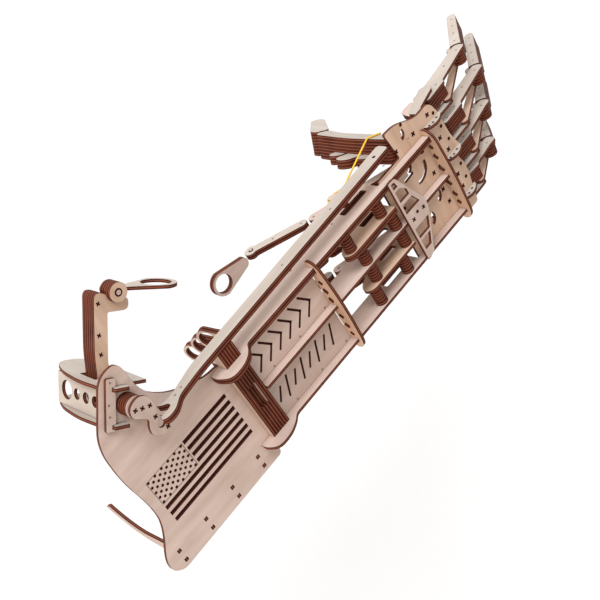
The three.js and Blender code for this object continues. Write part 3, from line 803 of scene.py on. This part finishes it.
def panel_engravings():
    """Plain chevrons on one box panel and slanted bars on the other."""
    marks = Marks("panel_engravings", "frame", "birch_face")
    face = Face(Z, PLY / MM, X)

    def bar(start, stop):
        ends = [face.spot(point) for point in flat_points((start, stop))]
        marks.engrave(face, [stroke(*ends, STROKE * MM)])

    low, high = (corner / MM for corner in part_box("box_panel_thumb"))
    middle, half = (low.y + high.y) / 2, 11
    for k in range(6):
        x = low.x + 28 + 13.5 * k
        for side in (-1, 1):
            bar((x, middle + side * half), (x + 9, middle))
    low, high = (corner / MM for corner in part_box("box_panel_little"))
    middle = (low.y + high.y) / 2
    for k in range(8):
        x = low.x + 27 + 10.5 * k
        reach = 9 if k % 2 else 5.5
        bar((x, middle - reach), (x + 7, middle + reach))
    for panel in ("thumb", "little"):
        low, high = (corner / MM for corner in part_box(f"box_panel_{panel}"))
        marks.pins(face, [(low.x + 5 + 36 * k, low.y + 1.6, 0) for k in range(4)], 0.9)
    marks.done()


def frame_marks():
    """Tenon crosses and pin ends on the palm plate, the bridge, a rail and the strip."""
    marks = Marks("frame_tenons", "frame")
    plate = Face(Z, PLY / MM, X)
    marks.crosses(plate, flat_points(PALM_CROSSES))
    marks.dots(plate, flat_points(PALM_DOTS))
    bridge = Face(Z, top_of("wrist_bridge"), X)
    marks.crosses(bridge, flat_points(((310.6, 2.3), (294.6, 0.8))), 2.4, 0.8)
    for y, spots in CREST_DOTS:
        marks.dots(Face(Y, y, X), [(x, y, z) for x, z in spots], 1.3)
    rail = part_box("rail_thumb")[1].y / MM
    marks.pins(Face(Y, rail, X), [(x, rail, 6.2) for x in RAIL_PINS], 1.0)
    strip = Face(Z, 2 * PLY / MM, X)
    marks.pins(strip, [from_control(x, y) for x, y in STRIP_PINS], 0.9)
    marks.done()


def control_marks():
    """Tenon crosses on the crank and the lever, the lever's hub, and the rod's pin ends."""
    marks = Marks("lever_tenons", "thumb_lever")
    crank = Face(Z, top_of("thumb_crank"), X)
    marks.crosses(crank, [from_control(x, y) for x, y in CRANK_CROSSES], 2.2, 0.75)
    lever = Face(Z, LEVER_TOP, X)
    marks.crosses(lever, [from_control(x, y) for x, y in LEVER_CROSSES], 2.0, 0.7)
    hub = Face(Z, HUB_TOP, X)
    centre = from_control(8, 84)
    marks.engrave(hub, [disc(hub.spot(centre), 3.6 * MM)])
    marks.peg(hub, disc(hub.spot(centre), 2.2 * MM), 0.5 * MM)
    marks.done()
    marks = Marks("rod_pins", "thumb_rod")
    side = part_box("thumb_rod")[1].y / MM
    marks.pins(Face(Y, side, X), [(x, side, z) for x, z in ROD_PINS], 1.0)
    marks.done()


def side_face(node):
    """The +Y face of a piece."""
    return Face(Y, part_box(node)[1].y / MM, X)


def pivot_of(joint):
    return Vector(JOINTS[joint]["pos_m"]) / MM


def finger_marks():
    """Pin ends along each finger, its link and its pull bar."""
    for finger in FINGERS:
        root, pip = pivot_of(f"{finger}_proximal_curl"), pivot_of(f"{finger}_distal_curl")
        low, high = (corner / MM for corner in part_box(f"{finger}_distal"))
        tip = Vector((high.x - 5, root.y, low.z + 5))
        marks = Marks(f"{finger}_proximal_pins", f"{finger}_proximal")
        along = pip - root
        marks.pins(side_face(f"{finger}_proximal"), [
            root + Vector((-2, 0, 6.5)), root + along * 0.2 + Vector((0, 0, 5.5)),
            root + along * 0.62 + Vector((0, 0, -1)), pip], 1.0)
        marks.done()
        marks = Marks(f"{finger}_distal_pins", f"{finger}_distal")
        marks.pins(side_face(f"{finger}_distal"),
                   [pip.lerp(tip, share) for share in (0.28, 0.5, 0.72, 0.93)], 0.9)
        marks.done()
        hook, pull = pivot_of(f"{finger}_finger_ring_swing"), pivot_of(f"{finger}_link_swing")
        face = side_face(f"{finger}_link")
        marks = Marks(f"{finger}_link_pins", f"{finger}_link")
        marks.engrave(face, [disc(face.spot(hook), 2.6 * MM)])
        marks.peg(face, disc(face.spot(hook), 1.4 * MM), 0.4 * MM)
        marks.pins(face, [hook.lerp(pull, 0.35), hook.lerp(pull, 0.8)], 1.0)
        marks.done()
        marks = Marks(f"{finger}_pull_pins", f"{finger}_pull_bar")
        forward = pull.lerp(Vector((pull.x + 40, pull.y, -8)), 0.4)
        marks.pins(Face(Y, hook.y + PLY / MM, X), [pull, forward], 1.2)
        marks.done()


# ---- the rubber band ---------------------------------------------------------
BAND_RADIUS = 0.9 * MM
BAND_HEIGHT = -24 * MM        # where it wraps round the wooden thumb
LUG_RADIUS = 5 * MM
ARC_STEP = math.pi / 12       # between the band's points round the lug


def band_path():
    """The band's points round the lug below the rail, and those round the wooden thumb."""
    rail = Stack("rail_thumb", Y, X)
    lug = [corner for corner in rail.corners if corner.y > rail.high - PLY / 2]
    lowest = min(corner.z for corner in lug)
    nearest = min(corner.x for corner in lug)
    centre = Vector((nearest + LUG_RADIUS, rail.high - PLY / 2, lowest + LUG_RADIUS))
    wrap = LUG_RADIUS + BAND_RADIUS
    arc = [centre + wrap * Vector((-math.sin(turn), 0, -math.cos(turn)))
           for turn in (math.pi * k / 12 for k in range(-1, 13))]
    beam = Stack("thumb_beam", Z, X)
    corners = max(beam.section(BAND_HEIGHT), key=lambda loop: abs(area_of(loop)))
    if area_of(corners) < 0:
        corners = corners[::-1]
    around = [beam.u * u + beam.v * v + Z * BAND_HEIGHT for u, v in inset(corners, -BAND_RADIUS)]
    towards = [(corner - centre).to_2d().angle_signed(Vector((1, 0))) for corner in around]
    first, last = towards.index(max(towards)), towards.index(min(towards))
    count, step = len(around), first
    round_thumb = [around[step]]
    turn = -1 if around[(first - 1) % count].x > around[(first + 1) % count].x else 1
    while step != last:
        step = (step + turn) % count
        round_thumb.append(around[step])
    return arc, round_thumb


def tube(name, path, radius, sides=10, step=3 * MM):
    """A closed round band along a closed path."""
    points = []
    for a, b in zip(path, path[1:] + path[:1]):
        pieces = max(1, round((b - a).length / step))
        points += [a.lerp(b, k / pieces) for k in range(pieces)]
    count = len(points)
    side, spots = Z, []
    for i, here in enumerate(points):
        along = (points[(i + 1) % count] - points[i - 1]).normalized()
        side = (side - along * side.dot(along)).normalized()
        across = along.cross(side)
        for k in range(sides):
            turn = 2 * math.pi * k / sides
            spots.append(here + (side * math.cos(turn) + across * math.sin(turn)) * radius)
    faces = []
    for i in range(count):
        j = (i + 1) % count
        for k in range(sides):
            n = (k + 1) % sides
            faces.append((i * sides + k, i * sides + n, j * sides + n, j * sides + k))
    mesh = bpy.data.meshes.new(name)
    mesh.from_pydata(spots, [], faces)
    mesh.polygons.foreach_set("use_smooth", [True] * len(faces))
    mesh.update()
    return added(name, mesh)


def rubber_band():
    """The band, which bends from the frame to the wooden thumb."""
    arc, round_thumb = band_path()
    band = tube("rubber_band", arc + round_thumb, BAND_RADIUS)
    band.data.materials.append(BAND)
    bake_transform(band)


# ---- camera, light and floor -------------------------------------------------
FLOOR_REACH = 40.0            # metres from the middle to an edge
FLOOR_DROP = 0.25             # below the lowest point of the object


def photo_camera():
    """The camera at the photograph's viewing angle."""
    data = bpy.data.cameras.new("camera")
    data.sensor_width = 36
    data.lens = 71.9
    camera = added("camera", data)
    right = Vector((0.6098, -0.4586, 0.6464))
    up = Vector((0.6993, 0.6951, -0.1667))
    back = Vector((-0.3729, 0.5537, 0.7446))
    turn = Matrix((right, up, back)).transposed().to_4x4()
    camera.matrix_world = Matrix.Translation((-0.2303, 0.6056, 0.7777)) @ turn
    bpy.context.scene.camera = camera


def sun(name, towards, strength, softness, color):
    """A sun that stands in a direction, with its angular size in degrees."""
    data = bpy.data.lights.new(name, "SUN")
    data.energy = strength
    data.angle = math.radians(softness)
    data.color = color
    made = added(name, data)
    made.rotation_euler = Vector(towards).to_track_quat("Z", "Y").to_euler()


def studio():
    """A white sky, two soft suns and a plain pale floor."""
    world = bpy.data.worlds.new("studio")
    bpy.context.scene.world = world
    world.use_nodes = True
    sky = world.node_tree.nodes["Background"]
    sky.inputs["Color"].default_value = (1, 1, 1, 1)
    sky.inputs["Strength"].default_value = 0.72
    sun("key", (-0.1, 1.0, 0.36), 2.75, 34, (0.93, 1.0, 1.08))
    sun("fill", (-1.0, 0.15, 0.4), 1.05, 40, (1.0, 0.78, 0.58))
    mesh = bpy.data.meshes.new("floor")
    reach, level = FLOOR_REACH, CAD_BOX[0].z - FLOOR_DROP
    mesh.from_pydata([(-reach, -reach, level), (reach, -reach, level), (reach, reach, level),
                      (-reach, reach, level)], [], [(0, 1, 2, 3)])
    floor = added("floor", mesh)
    g = Graph("floor_paper", 0.9)
    grain = g.stretched_noise(g.place(), (60, 60, 60), 2)
    g.look(Base_Color=g.ramp(grain, (0.0, (0.95, 0.95, 0.95)), (1.0, (0.97, 0.97, 0.97))))
    mesh.materials.append(g.material)
    bpy.context.scene.view_settings.view_transform = "Standard"


simple_pieces()
forearm_plate()
box_panels()
palm_plate()
pull_bars()
relief_field()
panel_engravings()
frame_marks()
control_marks()
finger_marks()
rubber_band()
photo_camera()
studio()
